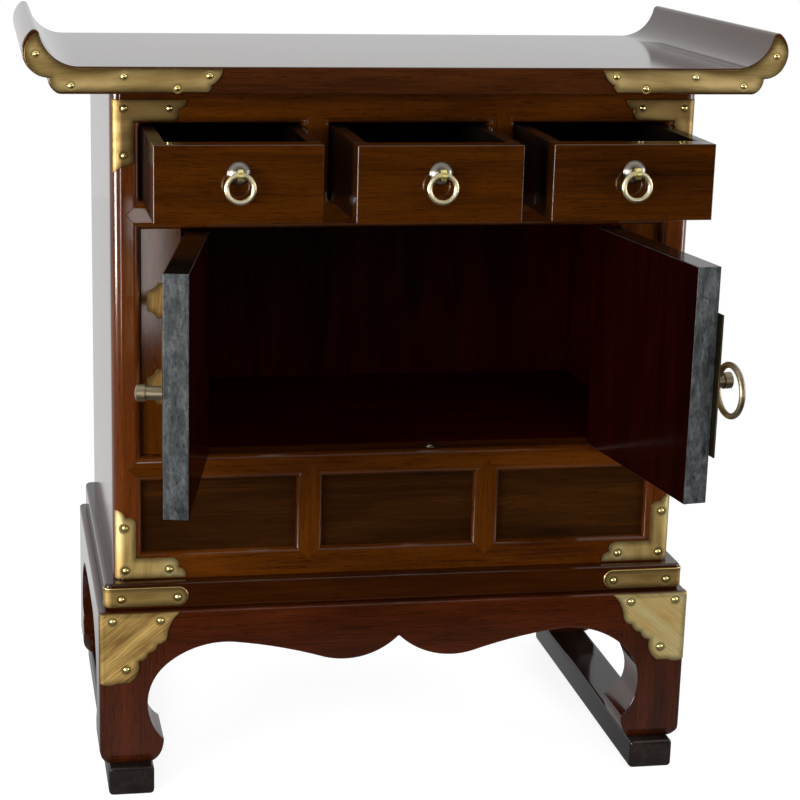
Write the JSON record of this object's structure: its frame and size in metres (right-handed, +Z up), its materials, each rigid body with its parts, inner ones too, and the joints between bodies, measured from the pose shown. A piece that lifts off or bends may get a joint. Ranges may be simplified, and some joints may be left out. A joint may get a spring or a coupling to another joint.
{
  "type": "korean end table cabinet",
  "caption": "Low lacquered rosewood cabinet with upturned scroll top, ring-pull drawers, hinged cupboard doors and brass corner mounts on a curved-leg stand.",
  "frame": {"origin": "on the floor under the middle of the cabinet's case and stand", "axes": "+X to the right seen from the front, -Y toward the front, +Z up"},
  "size_m": [0.6106, 0.4959, 0.6318],
  "materials": {
    "rosewood_lacquer": "high-gloss brown lacquer",
    "dark_rosewood": "dark stained, semi-gloss",
    "drawer_wood": "stained, satin",
    "antique_brass": "antique, brushed",
    "pale_brass": "pale, satin",
    "dark_bronze": "dark, polished"
  },
  "bodies": {
    "case": {"left_runner": "dark_rosewood", "right_runner": "dark_rosewood", "front_left_leg": "rosewood_lacquer", "front_right_leg": "rosewood_lacquer", "back_left_leg": "rosewood_lacquer", "back_right_leg": "rosewood_lacquer", "front_apron": "rosewood_lacquer", "back_apron": "rosewood_lacquer", "left_apron": "rosewood_lacquer", "right_apron": "rosewood_lacquer", "plinth_board": "rosewood_lacquer", "left_post": "rosewood_lacquer", "right_post": "rosewood_lacquer", "top_rail": "rosewood_lacquer", "drawer_rail": "rosewood_lacquer", "waist_rail": "rosewood_lacquer", "bottom_rail": "rosewood_lacquer", "drawer_dividers": "rosewood_lacquer", "drawer_partitions": "dark_rosewood", "muntins": "rosewood_lacquer", "lower_panels": "rosewood_lacquer", "left_hinge_panel": "rosewood_lacquer", "right_hinge_panel": "rosewood_lacquer", "left_side": "rosewood_lacquer", "right_side": "rosewood_lacquer", "back_panel": "dark_rosewood", "cupboard_floor": "dark_rosewood", "dust_board": "dark_rosewood", "top_board": "rosewood_lacquer", "left_scroll_end": "rosewood_lacquer", "right_scroll_end": "rosewood_lacquer", "top_straps": "antique_brass", "upper_brackets": "antique_brass", "lower_brackets": "antique_brass", "plinth_straps": "antique_brass", "leg_brackets": "antique_brass", "fixed_hinge_leaves": "antique_brass", "hinge_pins": "antique_brass", "floor_catch": "antique_brass"},
    "left_door_body": {"left_door": "rosewood_lacquer", "left_door_leaves": "antique_brass", "left_lock_plate": "antique_brass", "left_knob": "antique_brass"},
    "right_door_body": {"right_door": "rosewood_lacquer", "right_door_leaves": "antique_brass", "right_lock_plate": "antique_brass", "right_knob": "antique_brass"},
    "latch": {"latch_ring": "pale_brass"},
    "left_drawer": {"left_drawer_front": "rosewood_lacquer", "left_drawer_box": "drawer_wood", "left_pull": "dark_bronze"},
    "left_pull_ring": {"left_ring": "pale_brass"},
    "middle_drawer": {"middle_drawer_front": "rosewood_lacquer", "middle_drawer_box": "drawer_wood", "middle_pull": "dark_bronze"},
    "middle_pull_ring": {"middle_ring": "pale_brass"},
    "right_drawer": {"right_drawer_front": "rosewood_lacquer", "right_drawer_box": "drawer_wood", "right_pull": "dark_bronze"},
    "right_pull_ring": {"right_ring": "pale_brass"}
  },
  "joints": [
    {"name": "left_door_hinge", "type": "hinge", "parent": "case", "child": "left_door_body", "pos_m": [-0.1807, -0.1316, 0.381], "axis": [0, 0, -1], "range_deg": [-101, 64]},
    {"name": "right_door_hinge", "type": "hinge", "parent": "case", "child": "right_door_body", "pos_m": [0.1807, -0.1316, 0.381], "axis": [0, 0, 1], "range_deg": [-98, 66.8]},
    {"name": "latch_swing", "type": "hinge", "parent": "right_door_body", "child": "latch", "pos_m": [0.21194, -0.29653, 0.382], "axis": [0.0223, -0.1548, 0.9877], "range_deg": [-5, 150]},
    {"name": "left_drawer_slide", "type": "slide", "parent": "case", "child": "left_drawer", "axis": [0, -1, 0], "range_m": [-0.121, 0.054]},
    {"name": "left_ring_swing", "type": "hinge", "parent": "left_drawer", "child": "left_pull_ring", "pos_m": [-0.15067, -0.258, 0.5355], "axis": [-1, 0, 0], "range_deg": [-12, 120]},
    {"name": "middle_drawer_slide", "type": "slide", "parent": "case", "child": "middle_drawer", "axis": [0, -1, 0], "range_m": [-0.1275, 0.0475]},
    {"name": "middle_ring_swing", "type": "hinge", "parent": "middle_drawer", "child": "middle_pull_ring", "pos_m": [0, -0.2645, 0.5355], "axis": [-1, 0, 0], "range_deg": [-12, 120]},
    {"name": "right_drawer_slide", "type": "slide", "parent": "case", "child": "right_drawer", "axis": [0, -1, 0], "range_m": [-0.124, 0.051]},
    {"name": "right_ring_swing", "type": "hinge", "parent": "right_drawer", "child": "right_pull_ring", "pos_m": [0.15067, -0.261, 0.5355], "axis": [-1, 0, 0], "range_deg": [-12, 120]}
  ]
}
